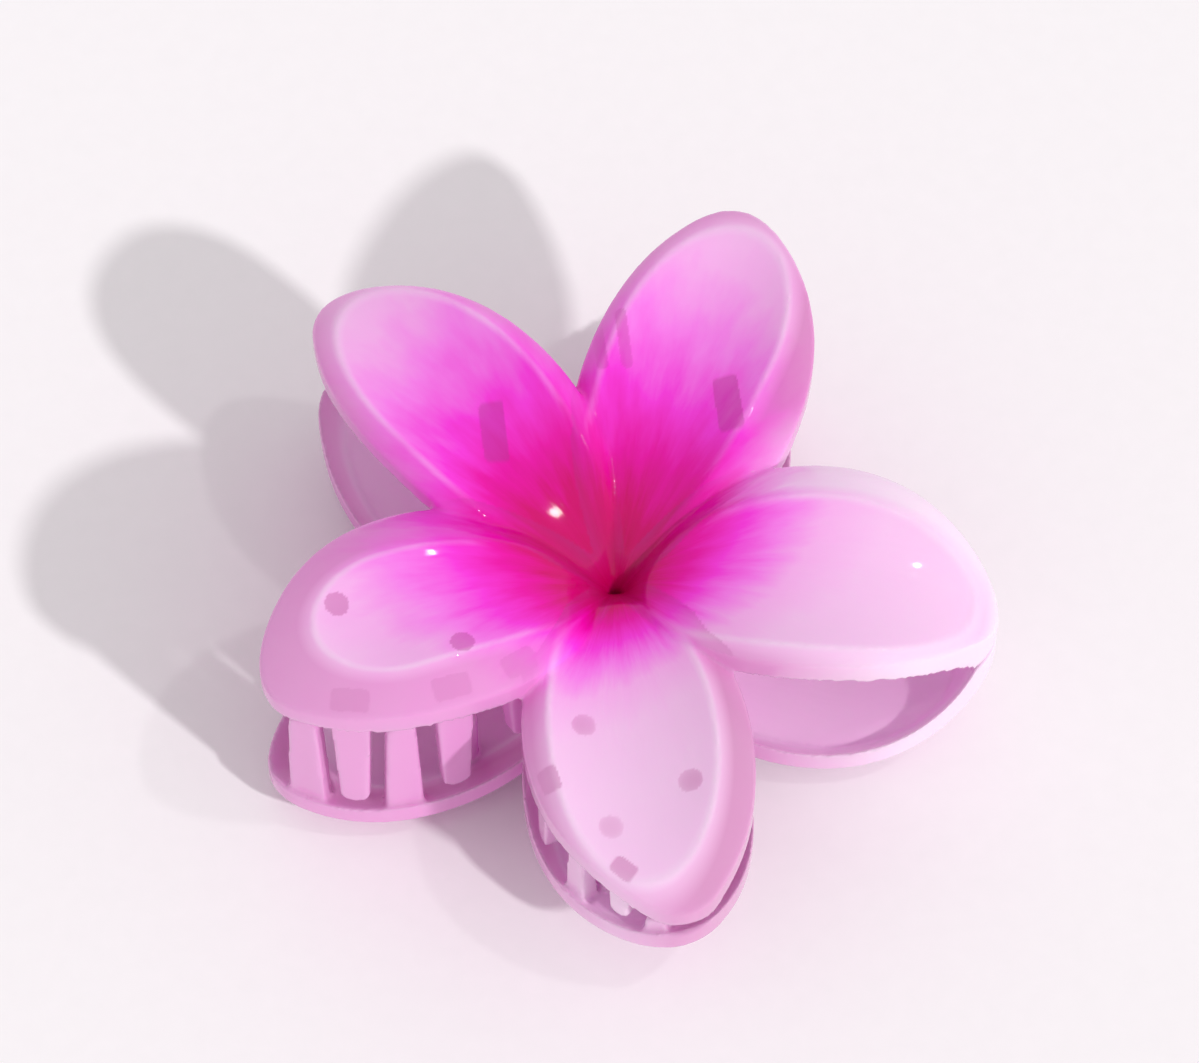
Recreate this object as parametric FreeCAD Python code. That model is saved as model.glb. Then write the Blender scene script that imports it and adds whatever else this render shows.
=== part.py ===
import FreeCAD, Part
import os
from math import acos, asin, atan2, cos, degrees, hypot, radians, sin, sqrt
from FreeCAD import Vector

# Double-sided flower hair claw. Two five-petal flower mouldings lie back to back and are mirror
# images in the plane z = 0, where the hinge pin runs along X. Petals a and b are the finger
# levers behind the pin; petals c, d and e are the jaws in front of it. All sizes are millimetres.
# The model is built about the throat of the flower and moved at the end, so that the clip
# stands on z = 0 with the lower flower down.

# One petal, seen from above: turn of its long axis about the throat, length, half width, and
# sideways lean of its tip; height and distance of its crest, and height of its tip. Then its
# scooped face: half width, sideways offset, hollow below the ridge, and border towards the tip.
PETALS = {
    "a": dict(turn=125.0, length=44.0, half_width=10.6, lean=2.0, crest=16.0, crest_at=25.0, tip=9.5,
              scoop_half=8.2, scoop_side=0.4, hollow=2.0, end_border=2.6),
    "b": dict(turn=60.5, length=43.2, half_width=12.0, lean=3.0, crest=16.0, crest_at=26.0, tip=13.0,
              scoop_half=8.6, scoop_side=1.4, hollow=2.2, end_border=2.6),
    "c": dict(turn=192.0, length=39.5, half_width=11.8, lean=2.7, crest=16.0, crest_at=24.0, tip=11.5,
              scoop_half=6.6, scoop_side=1.0, hollow=1.2, end_border=6.5),
    "d": dict(turn=269.0, length=39.0, half_width=11.9, lean=2.6, crest=11.8, crest_at=21.0, tip=4.0,
              scoop_half=8.6, scoop_side=-0.4, hollow=2.2, end_border=2.6),
    "e": dict(turn=348.5, length=40.4, half_width=12.1, lean=-0.5, crest=16.0, crest_at=22.0, tip=3.5,
              scoop_half=8.4, scoop_side=-2.0, hollow=2.2, end_border=2.4),
}
LOWER_LEVER_TURN = 65.0     # petal b of the lower flower, which petal b above it hides
# Shares of a petal's length and half width that its edge runs through.
OUTLINE = [(0.01, 0.16), (0.19, 0.68), (0.35, 0.93), (0.52, 1.00), (0.68, 0.94), (0.82, 0.75),
           (0.92, 0.49), (0.98, 0.24)]
PETAL_ARCH = 18.0           # radius of the crosswise arch
PETAL_WALL = 2.2
PETAL_OVERRUN = 13.6        # half width of the arched sheet that a petal is cut from
SCOOP_START = 3.0           # where the scooped face starts, from the throat
THROAT_RADIUS = 2.0         # where the petals reach the throat
THROAT_HEIGHT = 4.5         # height of the flower's face there
HALF_GAP = 0.3              # each half stays this far from the plane between the halves

HUB_RADIUS = 2.6
HUB_HEIGHT = 1.3
SLOT_LENGTH = 1.2
SLOT_WIDTH = 0.7

HINGE_X = 1.5               # middle of the hinge
HINGE_Y = 15.6
PIN_DIAMETER = 1.5
PIN_CLEARANCE = 0.05        # radial running clearance in the upper half's ears
EAR_OFFSET = 12.4           # from the middle of the hinge to the upper half's ears
EAR_THICKNESS = 2.6
EAR_SIDE_GAP = 0.3
EAR_BOSS_RADIUS = 2.6
EAR_ROOT_LENGTH = 9.0
PIN_END_PROUD = 0.5

TOOTH_THICKNESS = 2.0
TOOTH_INSET = 0.7
TOOTH_TAPER = 0.72
TOOTH_TIP_GAP = 0.9         # from a tooth's tip to the opposite petal
JAW_TOOTH_WIDTH = 4.4
FRONT_TOOTH_WIDTH = 3.2
# Stations of the teeth along the petal, and the edge of the petal that carries them.
UPPER_TEETH = [("c", 32.4, 1), ("c", 21.2, 1), ("c", 13.2, 1), ("d", 36.0, -1), ("d", 25.0, -1)]
LOWER_TEETH = [("c", 37.0, 1), ("c", 27.3, 1), ("d", 38.4, -1), ("d", 31.5, -1)]

PEG_DIAMETER = 2.6
PEG_TIP_GAP = 1.6           # from a peg's end to the plane between the halves
PEGS = [("c", 29.8, -1.8), ("c", 18.8, 6.2), ("d", 18.3, -5.2), ("d", 26.0, 5.0), ("d", 30.0, -3.6)]

WIRE_DIAMETER = 1.1
COIL_RADIUS = 2.9           # to the middle of the wire
COIL_TURNS = 4
COIL_PITCH = 1.3
SPRING_X = 5.5              # middle of the coil, under lever b
LEG_REACH = 9.5             # behind the pin, where a leg bears on its lever
SEAT_RIB_THICKNESS = 1.2
SEAT_RIB_LENGTH = 7.0
SEAT_RIB_DEPTH = 3.0
SEAT_GAP = 0.15             # from a spring leg to its lever and to the ribs beside it

BIG = 60.0
SHEET_TOP = 10.0            # how far the cutting sheets stand over a crest
SHEET_OVERREACH = 1.08      # and how far they run past the throat and the tip


def lower_petals():
    return {**PETALS, "b": dict(PETALS["b"], turn=LOWER_LEVER_TURN)}


def outline_points(petal):
    """Outline of a petal in its own frame: X along the petal, Y across it."""
    length, half = petal["length"], petal["half_width"]
    side = [(share * length, width * half) for share, width in OUTLINE]
    points = [(x, -y) for x, y in side] + [(length, 0.0)] + [(x, y) for x, y in reversed(side)]
    return [Vector(x, y + petal["lean"] * (x / length) ** 4, 0) for x, y in points]


def outline_edge(petal):
    curve = Part.BSplineCurve()
    curve.interpolate(outline_points(petal))
    return curve


def arch_radii(petal):
    """Radii of the long arch from throat to crest and from crest to tip."""
    rise = petal["crest"] - THROAT_HEIGHT
    run = petal["crest_at"] - THROAT_RADIUS
    drop = petal["crest"] - petal["tip"]
    reach = petal["length"] - petal["crest_at"]
    return (run ** 2 + rise ** 2) / (2 * rise), (reach ** 2 + drop ** 2) / (2 * drop)


def face_height(petal, x, y, depth=0.0):
    """Height of the petal's arched face, or of a sheet sunk under it, in the petal's frame."""
    inner, outer = arch_radii(petal)
    radius = inner if x < petal["crest_at"] else outer
    swing = radius - PETAL_ARCH + sqrt((PETAL_ARCH - depth) ** 2 - y ** 2)
    return petal["crest"] - radius + sqrt(swing ** 2 - (x - petal["crest_at"]) ** 2)


def turned(shape, petal):
    return shape.rotated(Vector(0, 0, 0), Vector(0, 0, 1), petal["turn"])


def swing_angle(reach, radius):
    """Turn of a revolve, in degrees, that carries a profile a little past the given reach."""
    share = max(-1.0, min(1.0, SHEET_OVERREACH * reach / radius))
    return degrees(asin(share))


def swept_sheet(profile, petal, height, inner_radius, outer_radius):
    """Revolve a crosswise profile at the crest both ways along the long arch."""
    crest_at, beyond = petal["crest_at"], petal["length"] - petal["crest_at"]
    inner = profile.revolve(
        Vector(crest_at, 0, height - inner_radius), Vector(0, 1, 0), -swing_angle(crest_at, inner_radius))
    outer = profile.revolve(
        Vector(crest_at, 0, height - outer_radius), Vector(0, 1, 0), swing_angle(beyond, outer_radius))
    return inner.fuse(outer)


def crosswise_profile(left, middle, right, top):
    """Face over an arc across the petal: the region that lies over a sheet."""
    arc = Part.Arc(left, middle, right).toShape()
    sides = Part.makePolygon([right, Vector(right.x, right.y, top), Vector(left.x, left.y, top), left])
    return Part.Face(Part.Wire([arc] + sides.Edges))


def over_arch(petal, depth):
    """Everything over the petal's arched face, sunk by the given depth."""
    x, crest = petal["crest_at"], petal["crest"]
    edge = crest - PETAL_ARCH + sqrt((PETAL_ARCH - depth) ** 2 - PETAL_OVERRUN ** 2)
    profile = crosswise_profile(
        Vector(x, -PETAL_OVERRUN, edge), Vector(x, 0, crest - depth), Vector(x, PETAL_OVERRUN, edge),
        crest + SHEET_TOP)
    return swept_sheet(profile, petal, crest, *arch_radii(petal))


def over_scoop(petal, depth):
    """Everything over the petal's scooped face, sunk by the given depth. It meets the arch in a ridge."""
    x, side, half = petal["crest_at"], petal["scoop_side"], petal["scoop_half"]
    left_height = face_height(petal, x, side - half)
    right_height = face_height(petal, x, side + half)
    floor = (left_height + right_height) / 2 - petal["hollow"]
    end = petal["length"] - petal["end_border"]
    inner_drop = floor - face_height(petal, SCOOP_START, 0)
    outer_drop = floor - face_height(petal, end, 0)
    inner = ((x - SCOOP_START) ** 2 + inner_drop ** 2) / (2 * inner_drop)
    outer = ((end - x) ** 2 + outer_drop ** 2) / (2 * outer_drop)
    profile = crosswise_profile(
        Vector(x, side - half, left_height - depth), Vector(x, side, floor - depth),
        Vector(x, side + half, right_height - depth), petal["crest"] + SHEET_TOP)
    return swept_sheet(profile, petal, floor, inner, outer)


def over_face(petal, depth):
    """Everything over the petal's scooped face, sunk by the given depth."""
    return over_arch(petal, depth).fuse(over_scoop(petal, depth))


def petal_prism(petal):
    curve = outline_edge(petal).toShape()
    first, last = outline_points(petal)[0], outline_points(petal)[-1]
    wire = Part.Wire([curve, Part.LineSegment(last, first).toShape()])
    return Part.Face(wire).extrude(Vector(0, 0, BIG))


def petal_shell(petal):
    return over_face(petal, PETAL_WALL).cut(over_face(petal, 0)).common(petal_prism(petal))


def seat_cutter(petal):
    """Trims what grows from the underside of a petal at the middle of its wall."""
    return over_face(petal, PETAL_WALL / 2)


def to_petal(petal, x, y):
    turn = radians(petal["turn"])
    return x * cos(turn) + y * sin(turn), y * cos(turn) - x * sin(turn)


def flower_face(petals):
    """Five petals joined at the throat, open underneath, with the small slot in the middle."""
    shells = [turned(petal_shell(petal), petal) for petal in petals.values()]
    hub = Part.makeCylinder(HUB_RADIUS, HUB_HEIGHT - HALF_GAP, Vector(0, 0, HALF_GAP))
    flower = shells[0].multiFuse(shells[1:] + [hub])
    slot = Part.makeBox(SLOT_LENGTH, SLOT_WIDTH, BIG, Vector(-SLOT_LENGTH / 2, -SLOT_WIDTH / 2, 0))
    above = Part.makeBox(2 * BIG, 2 * BIG, BIG, Vector(-BIG, -BIG, HALF_GAP))
    return flower.common(above).cut(slot)


def ear(x, petal):
    """Hinge ear that runs from a boss round the pin up to the underside of a lever."""
    left = x - EAR_THICKNESS / 2
    half_root = EAR_ROOT_LENGTH / 2
    top = petal["crest"]
    corners = [(-EAR_BOSS_RADIUS, 0), (EAR_BOSS_RADIUS, 0), (half_root, top), (-half_root, top)]
    points = [Vector(left, HINGE_Y + y, z) for y, z in corners]
    web = Part.Face(Part.makePolygon(points + points[:1])).extrude(Vector(EAR_THICKNESS, 0, 0))
    web = web.cut(turned(seat_cutter(petal), petal))
    boss = Part.makeCylinder(EAR_BOSS_RADIUS, EAR_THICKNESS, Vector(left, HINGE_Y, 0), Vector(1, 0, 0))
    return web.fuse(boss)


def ears(petals, offset):
    return [ear(HINGE_X + offset, petals["b"]), ear(HINGE_X - offset, petals["a"])]


def pin_bore(clearance):
    radius = PIN_DIAMETER / 2 + clearance
    return Part.makeCylinder(radius, 2 * BIG, Vector(-BIG, HINGE_Y, 0), Vector(1, 0, 0))


def rim_point(petal, station, side):
    """Point on a petal's edge at a station along it, and the edge's direction there."""
    curve = outline_edge(petal)
    edge = [point for point in curve.toShape().discretize(400) if point.y * side > 0]
    spot = min(edge, key=lambda point: abs(point.x - station))
    return spot, curve.tangent(curve.parameter(spot))[0]


def tooth(face, petal, station, side):
    """Flat tapering tooth with a round tip, set along a petal's edge and down to the other half."""
    width = FRONT_TOOTH_WIDTH if petal is PETALS["d"] else JAW_TOOTH_WIDTH
    spot, along = rim_point(petal, station, side)
    inward = Vector(along.y, -along.x, 0)
    if inward.dot(Vector(petal["crest_at"], 0, 0) - spot) < 0:
        inward = -inward
    start = spot + inward * TOOTH_INSET
    half_root, half_tip = width / 2, width * TOOTH_TAPER / 2
    middle = start + inward * (TOOTH_THICKNESS / 2)
    root = face_height(petal, middle.x, middle.y)
    foot = Part.makePolygon([start - along * half_root, start + along * half_root])
    column = foot.extrude(inward * TOOTH_THICKNESS).extrude(Vector(0, 0, root))
    floor = turned(column, petal).common(face).optimalBoundingBox(False, False).ZMin
    tip = TOOTH_TIP_GAP - floor
    shoulder = tip + half_tip * 0.8

    def at(across, height):
        return start + along * across + Vector(0, 0, height)

    arc = Part.Arc(at(half_tip, shoulder), at(0, tip), at(-half_tip, shoulder)).toShape()
    sides = [at(-half_tip, shoulder), at(-half_root, root), at(half_root, root), at(half_tip, shoulder)]
    outline = Part.Face(Part.Wire([arc] + Part.makePolygon(sides).Edges))
    blank = outline.extrude(inward * TOOTH_THICKNESS)
    return turned(blank.cut(seat_cutter(petal)), petal)


def teeth(face, rows):
    return [tooth(face, PETALS[name], station, side) for name, station, side in rows]


def peg(petal, x, y):
    """Round hair peg under a petal, with a domed end."""
    radius = PEG_DIAMETER / 2
    end = PEG_TIP_GAP + radius
    body = Part.makeCylinder(radius, face_height(petal, x, y) - end, Vector(x, y, end))
    dome = Part.makeSphere(radius, Vector(x, y, end))
    return turned(body.cut(seat_cutter(petal)).fuse(dome), petal)


def pegs():
    return [peg(PETALS[name], x, y) for name, x, y in PEGS]




def leg_height(petal, x):
    """Height of the wire's middle at the end of a leg that bears on the underside of a lever."""
    along, across = to_petal(petal, x, HINGE_Y + LEG_REACH)
    sheet = over_face(petal, PETAL_WALL + SEAT_GAP + WIRE_DIAMETER / 2)
    line = Part.makeLine(Vector(along, across, 0), Vector(along, across, petal["crest"]))
    return min(vertex.Z for vertex in sheet.common(line).Vertexes)


def leave_angle(petal, x):
    """Angle round the pin, in degrees from straight back, where the leg leaves the coil."""
    rise = leg_height(petal, x)
    return degrees(atan2(rise, LEG_REACH) + acos(COIL_RADIUS / hypot(LEG_REACH, rise)))


def seat_ribs(petal, x):
    """Two ribs under a lever that keep a spring leg in place."""
    step = WIRE_DIAMETER / 2 + SEAT_GAP + SEAT_RIB_THICKNESS / 2
    bottom = leg_height(petal, x) - SEAT_RIB_DEPTH
    cutter = turned(seat_cutter(petal), petal)
    ribs = []
    for side in (-1, 1):
        left = x + side * step - SEAT_RIB_THICKNESS / 2
        corner = Vector(left, HINGE_Y + LEG_REACH - SEAT_RIB_LENGTH / 2, bottom)
        blank = Part.makeBox(SEAT_RIB_THICKNESS, SEAT_RIB_LENGTH, petal["crest"] - bottom, corner)
        ribs.append(blank.cut(cutter).common(turned(petal_prism(petal), petal)))
    return ribs


def flower_half(petals, ear_offset, tooth_rows, leg_x, clearance):
    """One whole moulding: flower, hinge ears, teeth, pegs and spring seat."""
    face = flower_face(petals)
    pieces = ears(petals, ear_offset) + teeth(face, tooth_rows) + pegs() + seat_ribs(petals["b"], leg_x)
    return face.multiFuse(pieces).cut(pin_bore(clearance)).removeSplitter()


def mirrored(shape):
    return shape.mirror(Vector(0, 0, 0), Vector(0, 0, 1))


def outer_ear_offset():
    return EAR_OFFSET + EAR_THICKNESS + EAR_SIDE_GAP


def hinge_pin():
    half = outer_ear_offset() + EAR_THICKNESS / 2 + PIN_END_PROUD
    start = Vector(HINGE_X - half, HINGE_Y, 0)
    return Part.makeCylinder(PIN_DIAMETER / 2, 2 * half, start, Vector(1, 0, 0))


def leg_angles(first, last):
    return leave_angle(PETALS["b"], first), leave_angle(lower_petals()["b"], last)


def coil_span():
    """Where the two legs stand along the pin: first the upper one, then the lower one."""
    turns = COIL_TURNS + 0.5
    first = SPRING_X - COIL_PITCH * turns / 2
    last = SPRING_X + COIL_PITCH * turns / 2
    for _ in range(4):
        turns = COIL_TURNS + 1 - sum(leg_angles(first, last)) / 360
        first = SPRING_X - COIL_PITCH * turns / 2
        last = SPRING_X + COIL_PITCH * turns / 2
    return first, last


def straight_leg(start, end):
    """Round wire from the coil to its seat, with a ball at both ends."""
    radius = WIRE_DIAMETER / 2
    rod = Part.makeCylinder(radius, (end - start).Length, start, end - start)
    return rod.fuse(Part.makeSphere(radius, start)).fuse(Part.makeSphere(radius, end))


def torsion_spring():
    """Coil round the pin whose two legs press the levers apart."""
    first, last = coil_span()
    start_angle, _ = leg_angles(first, last)
    helix = Part.makeHelix(COIL_PITCH, last - first, COIL_RADIUS)
    helix.rotate(Vector(0, 0, 0), Vector(0, 0, 1), start_angle)
    helix.rotate(Vector(0, 0, 0), Vector(1, 1, 1), 120)
    helix.translate(Vector(first, HINGE_Y, 0))
    start, end = helix.Edges[0].Vertexes[0].Point, helix.Edges[-1].Vertexes[-1].Point
    along = helix.Edges[0].tangentAt(helix.Edges[0].FirstParameter)
    section = Part.Wire(Part.makeCircle(WIRE_DIAMETER / 2, start, along))
    coil = Part.Wire(helix.Edges).makePipeShell([section], True, True)
    upper = Vector(first, HINGE_Y + LEG_REACH, leg_height(PETALS["b"], first))
    lower = Vector(last, HINGE_Y + LEG_REACH, -leg_height(lower_petals()["b"], last))
    return coil.fuse(straight_leg(start, upper)).fuse(straight_leg(end, lower))


def clip_parts():
    """Every piece about the throat, with the two halves meeting in the plane z = 0."""
    upper_leg, lower_leg = coil_span()
    upper = flower_half(PETALS, EAR_OFFSET, UPPER_TEETH, upper_leg, PIN_CLEARANCE)
    lower = mirrored(flower_half(lower_petals(), outer_ear_offset(), LOWER_TEETH, lower_leg, 0.0))
    return {
        "upper_flower": upper,
        "lower_flower": lower,
        "hinge_pin": hinge_pin(),
        "torsion_spring": torsion_spring(),
    }


def standing_shift(parts):
    """Move that puts the origin under the middle of the clip, on the surface it stands on."""
    box = FreeCAD.BoundBox()
    for shape in parts.values():
        box.add(shape.optimalBoundingBox(False, False))
    return Vector(-box.Center.x, -box.Center.y, -box.ZMin)


parts = clip_parts()
shift = standing_shift(parts)
os.makedirs("parts", exist_ok=True)
for name, shape in parts.items():
    shape.translate(shift)
    shape.exportStep("parts/" + name + ".step")
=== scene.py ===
from math import cos, hypot, pi, radians, sin

import bpy
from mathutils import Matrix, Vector
from mathutils.bvhtree import BVHTree


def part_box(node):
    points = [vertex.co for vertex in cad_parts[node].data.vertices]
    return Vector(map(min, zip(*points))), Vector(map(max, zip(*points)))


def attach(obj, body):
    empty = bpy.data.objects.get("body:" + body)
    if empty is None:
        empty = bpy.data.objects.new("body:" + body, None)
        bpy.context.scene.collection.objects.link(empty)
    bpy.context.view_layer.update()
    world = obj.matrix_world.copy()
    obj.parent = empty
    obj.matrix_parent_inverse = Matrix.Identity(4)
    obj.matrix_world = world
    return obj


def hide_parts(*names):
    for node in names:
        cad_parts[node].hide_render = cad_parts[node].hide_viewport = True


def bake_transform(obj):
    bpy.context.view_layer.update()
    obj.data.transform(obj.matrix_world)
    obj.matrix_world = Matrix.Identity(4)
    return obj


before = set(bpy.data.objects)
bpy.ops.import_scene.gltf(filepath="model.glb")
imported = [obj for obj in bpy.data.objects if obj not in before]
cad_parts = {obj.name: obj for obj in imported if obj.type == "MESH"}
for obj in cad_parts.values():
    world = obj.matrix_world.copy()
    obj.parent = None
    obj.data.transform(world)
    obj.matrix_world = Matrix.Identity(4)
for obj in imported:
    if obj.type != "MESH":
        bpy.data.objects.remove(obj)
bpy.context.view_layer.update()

# Flower hair claw: two translucent flower mouldings on a hinge pin, lying on a pale table.
# Lengths are metres unless a comment says otherwise. Each moulding is drawn from its own solid,
# with the soft edges that a mould leaves.

MM = 0.001

# Petals seen from above, in millimetres: direction and length of the long axis, distance of the
# crest, and the scooped face's half width, sideways offset and border towards the tip.
PETALS = {
    "a": (125.0, 44.0, 25.0, 8.2, 0.4, 2.6),
    "b": (60.5, 43.2, 26.0, 8.6, 1.4, 2.6),
    "c": (192.0, 39.5, 24.0, 6.6, 1.0, 6.5),
    "d": (269.0, 39.0, 21.0, 8.6, -0.4, 2.6),
    "e": (348.5, 40.4, 22.0, 8.4, -2.0, 2.4),
}
LOWER_LEVER_TURN = 65.0
SCOOP_START = 3.0
THROAT_FROM_PIN = Vector((-1.5, -15.6, 0.0)) * MM

VOXEL = 0.22 * MM
SOFTEN_ROUNDS = 16
SKIN = 0.1 * MM             # how far under the face the look through the plastic starts
WALL_DEPTH = 3.0 * MM       # straight through a plain wall, at most
DEEP = 7.0 * MM             # from here on a peg, ear or rib shows as dark as it gets

CAMERA_ELEVATION = radians(60.3)
CAMERA_TURN = radians(7.0)
CAMERA_DISTANCE = 0.7
CAMERA_LENS = 200.0
# Lamps: name, where the light comes from, strength, and width in degrees. The key gives the shadow,
# and the weak high one the small glints.
LAMPS = (
    ("key", (0.52, -0.59, 0.57), 1.6, 3.0),
    ("glint", (0.455, -0.12, 0.88), 0.2, 2.6),
)


def pin_centre():
    low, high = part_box("hinge_pin")
    return (low + high) / 2


THROAT = pin_centre() + THROAT_FROM_PIN


def linear(red, green, blue):
    """Colour picked on screen, 0 to 255, as the shader's linear values."""
    def channel(value):
        share = value / 255
        return share / 12.92 if share <= 0.04045 else ((share + 0.055) / 1.055) ** 2.4
    return (channel(red), channel(green), channel(blue), 1.0)


# -- materials --

class Graph:
    """Small helper that adds and joins a material's nodes."""

    def __init__(self, name):
        self.material = bpy.data.materials.new(name)
        self.material.use_nodes = True
        self.nodes = self.material.node_tree.nodes
        self.links = self.material.node_tree.links
        self.shader = self.nodes["Principled BSDF"]

    def add(self, kind, **settings):
        node = self.nodes.new(kind)
        for key, value in settings.items():
            setattr(node, key, value)
        return node

    def join(self, source, target):
        self.links.new(source, target)

    def math(self, operation, first, second=None, third=None):
        node = self.add("ShaderNodeMath", operation=operation)
        for slot, value in enumerate((first, second, third)):
            if value is None:
                continue
            if isinstance(value, (int, float)):
                node.inputs[slot].default_value = value
            else:
                self.join(value, node.inputs[slot])
        return node.outputs[0]

    def ramp(self, factor, stops):
        node = self.add("ShaderNodeValToRGB")
        self.join(factor, node.inputs[0])
        marks = node.color_ramp.elements
        while len(marks) < len(stops):
            marks.new(0.5)
        for mark, (place, colour) in zip(marks, stops):
            mark.position = place
            mark.color = colour
        return node.outputs[0]

    def noise(self, vector, scale, detail=2.0, roughness=0.5):
        node = self.add("ShaderNodeTexNoise")
        node.inputs["Scale"].default_value = scale
        node.inputs["Detail"].default_value = detail
        node.inputs["Roughness"].default_value = roughness
        self.join(vector, node.inputs["Vector"])
        return node.outputs["Fac"]

    def mix(self, factor, first, second):
        node = self.add("ShaderNodeMix", data_type="RGBA")
        for slot, value in (("Factor", factor), ("A", first), ("B", second)):
            socket = next(s for s in node.inputs if s.name == slot and s.enabled)
            if isinstance(value, (int, float, tuple)):
                socket.default_value = value
            else:
                self.join(value, socket)
        return next(s for s in node.outputs if s.enabled)

    def bump(self, height, strength, distance):
        node = self.add("ShaderNodeBump")
        node.inputs["Strength"].default_value = strength
        node.inputs["Distance"].default_value = distance
        self.join(height, node.inputs["Height"])
        self.join(node.outputs[0], self.shader.inputs["Normal"])


def petal_plastic():
    """Translucent glossy plastic, magenta at the throat and pale pink towards the tips."""
    graph = Graph("petal_plastic")
    place = graph.add("ShaderNodeTexCoord").outputs["Object"]
    shift = graph.add("ShaderNodeVectorMath", operation="SUBTRACT")
    graph.join(place, shift.inputs[0])
    shift.inputs[1].default_value = THROAT
    split = graph.add("ShaderNodeSeparateXYZ")
    graph.join(shift.outputs[0], split.inputs[0])
    across, back = split.outputs["X"], split.outputs["Y"]
    radius = graph.math("SQRT", graph.math("ADD", graph.math("MULTIPLY", across, across),
                                           graph.math("MULTIPLY", back, back)))
    turn = graph.math("ARCTAN2", back, across)

    # Pigment feathers outwards in fine streaks that follow each petal.
    fan = graph.add("ShaderNodeCombineXYZ")
    graph.join(graph.math("COSINE", turn), fan.inputs[0])
    graph.join(graph.math("SINE", turn), fan.inputs[1])
    graph.join(graph.math("MULTIPLY", radius, 12.0), fan.inputs[2])
    feather = graph.noise(fan.outputs[0], 9.0, 3.0, 0.6)
    cloud = graph.noise(shift.outputs[0], 90.0, 2.0)

    # How far the pigment reaches: furthest on the lever petals behind the throat, least in front.
    reach = graph.math("MULTIPLY_ADD", graph.math("SINE", turn), 0.0075, 0.016)
    reach = graph.math("MULTIPLY_ADD", graph.math("COSINE", turn), -0.0026, reach)
    share = graph.math("DIVIDE", radius, reach)
    share = graph.math("MULTIPLY_ADD", graph.math("SUBTRACT", feather, 0.5), 0.45, share)
    share = graph.math("MULTIPLY_ADD", graph.math("SUBTRACT", cloud, 0.5), 0.25, share)
    share = graph.math("DIVIDE", share, 3.0)
    # The faces that look at the other half are paler.
    inner = graph.add("ShaderNodeAttribute", attribute_name="inner").outputs["Fac"]
    share = graph.math("MULTIPLY_ADD", inner, 0.3, share)
    pigment = graph.ramp(share, [
        (0.00, linear(186, 0, 84)), (0.12, linear(206, 0, 112)), (0.21, linear(232, 0, 168)),
        (0.31, linear(250, 56, 220)), (0.42, linear(255, 132, 238)), (0.54, linear(255, 182, 241)),
        (0.72, linear(255, 202, 244)), (1.00, linear(255, 208, 245))])

    # Painted shade on the borders, which are duller than the dishes, and painted light on the borders
    # of the petal that faces right; a painted highlight makes the ridges paler.
    scoop = graph.add("ShaderNodeAttribute", attribute_name="scoop").outputs["Fac"]
    half_scoop = graph.math("MULTIPLY", scoop, 0.5)
    border = graph.ramp(half_scoop, [(0.48, (0, 0, 0, 1)), (0.60, (1, 1, 1, 1))])
    ridge = graph.ramp(half_scoop, [(0.465, (0, 0, 0, 1)), (0.495, (1, 1, 1, 1)),
                                    (0.505, (1, 1, 1, 1)), (0.53, (0, 0, 0, 1))])
    outer = graph.ramp(share, [(0.22, (0, 0, 0, 1)), (0.45, (1, 1, 1, 1))])
    dull, mauve, pale = linear(172, 74, 138), linear(214, 122, 190), linear(255, 242, 254)
    # Painted shade and painted light: the border colour is chosen by the side of the flower that each
    # border faces.
    painted_border_light_and_shade = graph.ramp(graph.math("MULTIPLY_ADD", turn, 0.5 / pi, 0.5), [
        (0.23, mauve), (0.27, dull), (0.33, dull), (0.37, mauve), (0.42, pale), (0.56, pale),
        (0.60, dull), (0.655, dull), (0.69, mauve)])
    colour = graph.mix(graph.math("MULTIPLY", graph.math("MULTIPLY", border, outer), 0.55), pigment,
                       painted_border_light_and_shade)
    # Painted highlight: a pale line along each ridge, where the edge would catch the light.
    painted_ridge_highlight = graph.math("MULTIPLY", graph.math("MULTIPLY", ridge, outer),
                            graph.math("MULTIPLY", cloud, 0.6))
    colour = graph.mix(painted_ridge_highlight, colour, linear(255, 228, 251))
    # Painted shade: darker where pegs, ears, ribs and teeth lie below the face, standing in for how
    # they look through the plastic; weaker on the borders.
    deep = graph.add("ShaderNodeAttribute", attribute_name="depth").outputs["Fac"]
    rim_fade = graph.math("MULTIPLY_ADD", border, -0.27, 0.42)
    colour = graph.mix(graph.math("MULTIPLY", deep, rim_fade), colour, linear(170, 52, 138))
    graph.join(colour, graph.shader.inputs["Base Color"])

    # The wall looks clearer towards the tips, and denser where it is seen edge on.
    facing = graph.add("ShaderNodeLayerWeight")
    facing.inputs["Blend"].default_value = 0.35
    clear = graph.ramp(share, [(0.0, (0.98, 0.98, 0.98, 1)), (0.2, (0.92, 0.92, 0.92, 1)),
                               (0.45, (0.88, 0.88, 0.88, 1)), (0.8, (0.84, 0.84, 0.84, 1))])
    edge_on = graph.math("MULTIPLY", facing.outputs["Facing"], 0.35)
    graph.join(graph.math("MINIMUM", graph.math("ADD", clear, edge_on), 1.0),
               graph.shader.inputs["Alpha"])
    graph.join(graph.math("MULTIPLY_ADD", cloud, 0.06, 0.05), graph.shader.inputs["Roughness"])
    graph.shader.inputs["IOR"].default_value = 1.5
    graph.shader.inputs["Specular IOR Level"].default_value = 0.22
    graph.shader.inputs["Coat Weight"].default_value = 0.1
    graph.shader.inputs["Coat Roughness"].default_value = 0.03
    graph.shader.inputs["Subsurface Weight"].default_value = 0.3
    graph.shader.inputs["Subsurface Radius"].default_value = (1.0, 0.6, 0.9)
    graph.shader.inputs["Subsurface Scale"].default_value = 0.004
    graph.bump(feather, 0.10, 0.0005)
    return graph.material


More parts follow.
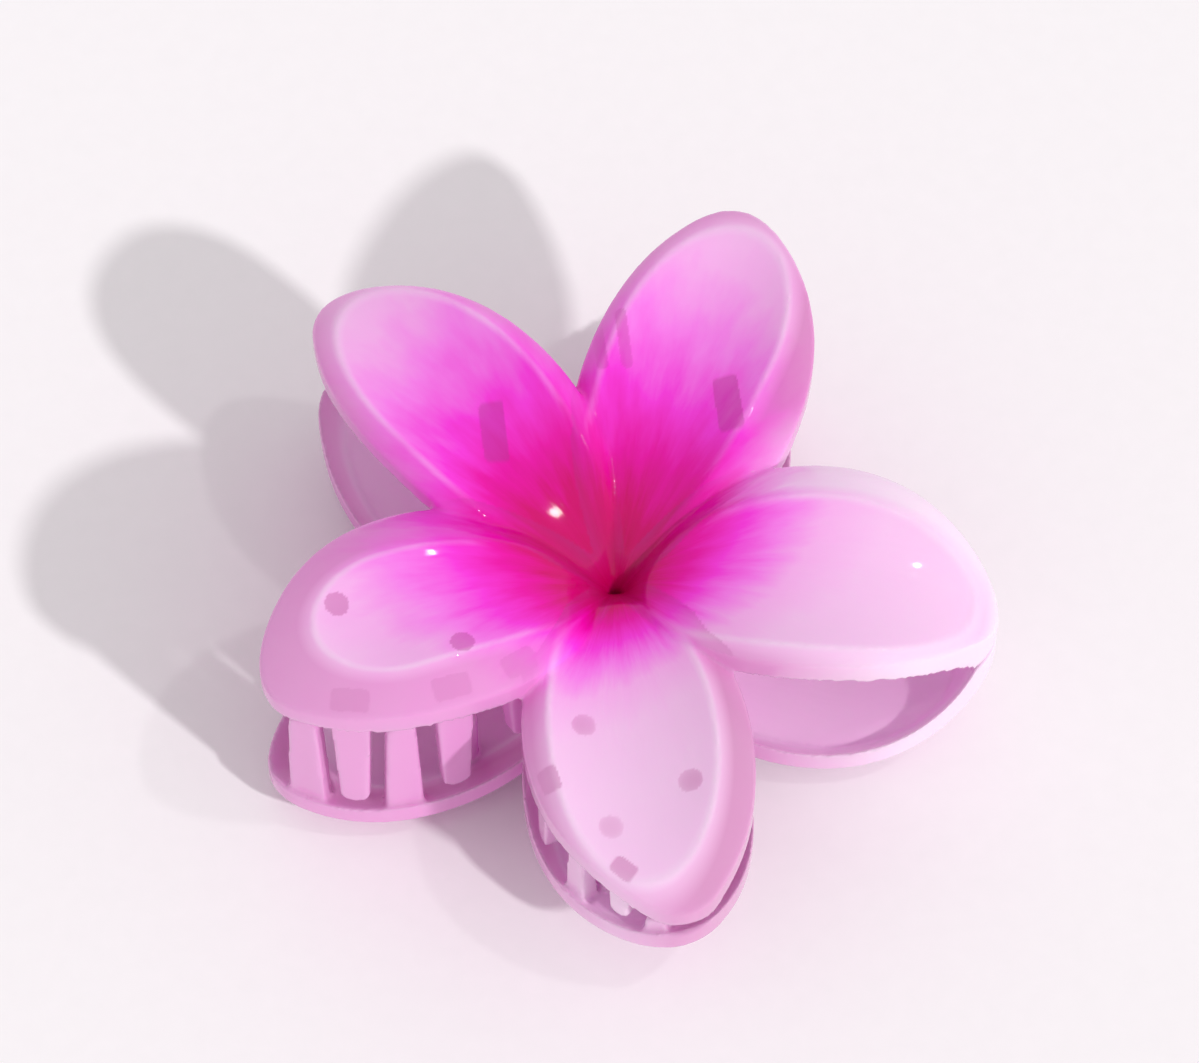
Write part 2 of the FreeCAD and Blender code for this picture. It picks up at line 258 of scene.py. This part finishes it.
def pin_steel():
    """Plain steel wire with a brown, slightly oxidised skin."""
    graph = Graph("pin_steel")
    place = graph.add("ShaderNodeTexCoord").outputs["Object"]
    grain = graph.noise(place, 900.0, 3.0, 0.6)
    graph.join(graph.mix(grain, linear(92, 70, 58), linear(150, 124, 106)),
               graph.shader.inputs["Base Color"])
    graph.join(graph.math("ADD", 0.22, graph.math("MULTIPLY", grain, 0.2)),
               graph.shader.inputs["Roughness"])
    graph.shader.inputs["Metallic"].default_value = 1.0
    graph.bump(grain, 0.1, 0.0001)
    return graph.material


def spring_steel():
    """Bright drawn wire with faint marks along it."""
    graph = Graph("spring_steel")
    place = graph.add("ShaderNodeTexCoord").outputs["Object"]
    grain = graph.noise(place, 1500.0, 2.0, 0.5)
    graph.join(graph.mix(grain, linear(150, 150, 152), linear(205, 205, 208)),
               graph.shader.inputs["Base Color"])
    graph.join(graph.math("ADD", 0.14, graph.math("MULTIPLY", grain, 0.12)),
               graph.shader.inputs["Roughness"])
    graph.shader.inputs["Metallic"].default_value = 1.0
    graph.bump(grain, 0.08, 0.0001)
    return graph.material


def table_top():
    """Pale matt table that keeps the clip's shadow."""
    graph = Graph("table_top")
    place = graph.add("ShaderNodeTexCoord").outputs["Object"]
    grain = graph.noise(place, 400.0, 2.0)
    graph.join(graph.mix(grain, linear(247, 243, 245), linear(250, 246, 248)),
               graph.shader.inputs["Base Color"])
    graph.shader.inputs["Roughness"].default_value = 0.9
    graph.shader.inputs["Specular IOR Level"].default_value = 0.1
    return graph.material


# -- pieces --

def scoop_share(x, y, lower):
    """Place of a point, seen from above, in the nearest scoop: 0 in its middle, 1 on its ridge."""
    nearest = 2.0
    for name, (turn, length, crest_at, half, side, border) in PETALS.items():
        angle = radians(LOWER_LEVER_TURN if lower and name == "b" else turn)
        along = x * cos(angle) + y * sin(angle)
        across = y * cos(angle) - x * sin(angle)
        reach = length - border - crest_at if along > crest_at else crest_at - SCOOP_START
        nearest = min(nearest, hypot((along - crest_at) / reach, (across - side) / half))
    return nearest


def mark_mesh(mesh, lower):
    """Note on the mesh, for the material alone, where ridges lie and how much plastic is below.

    No point moves. Pegs, ears, ribs and teeth show through a face because there is more to see
    through there: "depth" is 0 over a plain wall and 1 over such a form. "inner" is 1 on the faces
    that look at the other half.
    """
    corners = [vertex.co for vertex in mesh.vertices]
    tree = BVHTree.FromPolygons(corners, [tuple(face.vertices) for face in mesh.polygons])
    down = Vector((0, 0, 1 if lower else -1))
    scoops = mesh.attributes.new("scoop", "FLOAT", "POINT")
    depths = mesh.attributes.new("depth", "FLOAT", "POINT")
    inner = mesh.attributes.new("inner", "FLOAT", "POINT")
    for vertex in mesh.vertices:
        x, y, _ = (vertex.co - THROAT) / MM
        scoops.data[vertex.index].value = scoop_share(x, y, lower)
        inner.data[vertex.index].value = min(1.0, max(0.0, vertex.normal.dot(down) * 2))
        if vertex.normal.dot(down) > -0.3:
            continue
        _, _, _, through = tree.ray_cast(vertex.co + down * SKIN, down)
        share = ((through or 0.0) - WALL_DEPTH) / (DEEP - WALL_DEPTH)
        depths.data[vertex.index].value = min(1.0, max(0.0, share))


def moulded_copy(node, name):
    """A moulding drawn from its own solid, with edges rounded as a mould leaves them."""
    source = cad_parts[node]
    piece = bpy.data.objects.new(name, source.data.copy())
    bpy.context.scene.collection.objects.link(piece)
    skin = piece.modifiers.new("round_edges", "REMESH")
    skin.mode = "VOXEL"
    skin.voxel_size = VOXEL
    soften = piece.modifiers.new("soften", "SMOOTH")
    soften.factor = 0.5
    soften.iterations = SOFTEN_ROUNDS
    bpy.context.view_layer.update()
    graph = bpy.context.evaluated_depsgraph_get()
    mesh = bpy.data.meshes.new_from_object(piece.evaluated_get(graph))
    piece.modifiers.clear()
    piece.data = mesh
    mesh.name = name
    mesh.shade_smooth()
    mark_mesh(mesh, lower=node == "lower_flower")
    return piece


def dress(piece, material):
    piece.data.materials.clear()
    piece.data.materials.append(material)


def flower(node, name, body, material):
    piece = moulded_copy(node, name)
    dress(piece, material)
    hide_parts(node)
    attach(piece, body)


def winding_spring():
    """Copy of the spring that sits between the two halves."""
    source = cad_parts["torsion_spring"]
    piece = bpy.data.objects.new("spring_wire", source.data.copy())
    bpy.context.scene.collection.objects.link(piece)
    piece.data.shade_smooth()
    dress(piece, spring_steel())
    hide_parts("torsion_spring")
    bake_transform(piece)


# -- table, light and camera --

def table():
    bpy.ops.mesh.primitive_plane_add(size=3.0)
    plane = bpy.context.object
    plane.name = "table"
    dress(plane, table_top())


def lights():
    world = bpy.data.worlds.new("studio")
    bpy.context.scene.world = world
    world.use_nodes = True
    world.node_tree.nodes["Background"].inputs["Color"].default_value = (1.0, 0.985, 0.995, 1)
    world.node_tree.nodes["Background"].inputs["Strength"].default_value = 0.66
    for name, direction, energy, width in LAMPS:
        sun = bpy.data.lights.new(name, "SUN")
        sun.energy = energy
        sun.angle = radians(width)
        lamp = bpy.data.objects.new(name, sun)
        lamp.rotation_euler = Vector(direction).to_track_quat("Z", "Y").to_euler()
        lamp.visible_glossy = name != "key"
        bpy.context.scene.collection.objects.link(lamp)


def camera():
    """Camera in front of the clip and above it, the throat a little right of and below the middle."""
    data = bpy.data.cameras.new("camera")
    data.lens = CAMERA_LENS
    data.sensor_width = 36.0
    data.clip_end = 10.0
    view = bpy.data.objects.new("camera", data)
    level = cos(CAMERA_ELEVATION)
    away = Vector((-sin(CAMERA_TURN) * level, -cos(CAMERA_TURN) * level, sin(CAMERA_ELEVATION)))
    view.rotation_euler = away.to_track_quat("Z", "Y").to_euler()
    right = Vector((cos(CAMERA_TURN), -sin(CAMERA_TURN), 0))
    up = away.cross(right)
    aim = THROAT + Vector((0, 0, 4.5 * MM)) - right * 1.65 * MM + up * 5.4 * MM
    view.location = aim + away * CAMERA_DISTANCE
    bpy.context.scene.collection.objects.link(view)
    bpy.context.scene.camera = view


plastic = petal_plastic()
flower("upper_flower", "upper_flower_moulding", "opening_half", plastic)
flower("lower_flower", "lower_flower_moulding", "base_half", plastic)
dress(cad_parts["hinge_pin"], pin_steel())
winding_spring()
table()
lights()
camera()
bpy.context.scene.view_settings.view_transform = "Standard"
